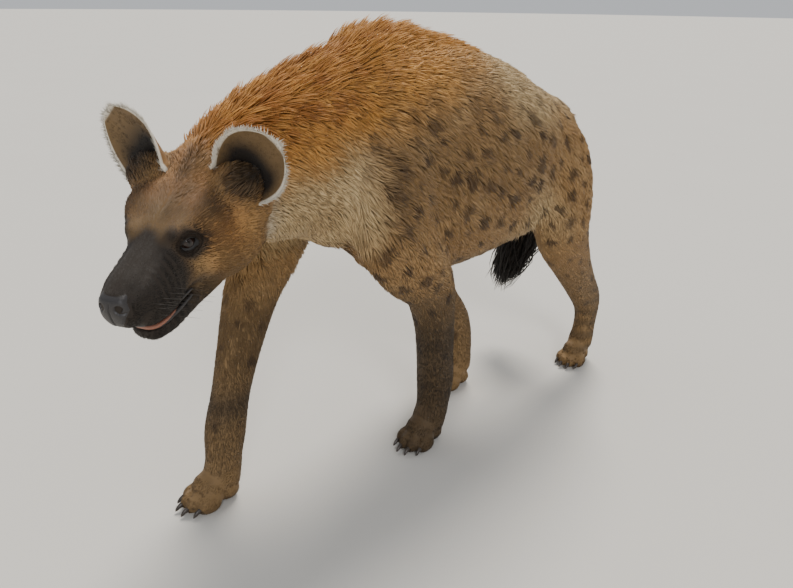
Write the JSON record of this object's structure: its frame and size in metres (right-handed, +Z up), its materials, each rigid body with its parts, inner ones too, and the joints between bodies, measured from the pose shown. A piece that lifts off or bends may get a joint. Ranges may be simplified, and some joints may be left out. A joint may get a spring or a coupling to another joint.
{
  "type": "spotted hyena, still life-size model",
  "caption": "Life-size still model of a spotted hyena walking with its head low and turned, mane raised and black-brushed tail hanging.",
  "frame": {"origin": "on the floor, at the middle of the model's box seen from above", "axes": "+Z up; +Y to the animal's tail, so it faces -Y; +X to the animal's left"},
  "size_m": [0.3564, 1.2683, 0.8629],
  "materials": {
    "coat_tan": "short coarse fur, cream to tan, with dark brown spots on flank, shoulder and haunch",
    "coat_golden": "long golden to rufous fur on the nape and withers, pale buff neck",
    "coat_brown": "short grey-brown fur with a dark muzzle and dark leg patches",
    "coat_ear": "grey-buff fur with a white fringe along the rim",
    "coat_black": "long black tail fur over a brown stem",
    "eye": "wet dark brown eye",
    "tongue": "damp pinkish tongue"
  },
  "bodies": {
    "root": {"torso": "coat_tan", "neck": "coat_golden", "head": "coat_brown", "lower_jaw": "coat_brown", "tongue": "tongue", "ear_left": "coat_ear", "ear_right": "coat_ear", "eye_left": "eye", "eye_right": "eye", "foreleg_left": "coat_brown", "foreleg_right": "coat_brown", "hindleg_left": "coat_brown", "hindleg_right": "coat_brown", "forepaw_left": "coat_brown", "forepaw_right": "coat_brown", "hindpaw_left": "coat_brown", "hindpaw_right": "coat_brown", "tail": "coat_black"}
  },
  "joints": []
}
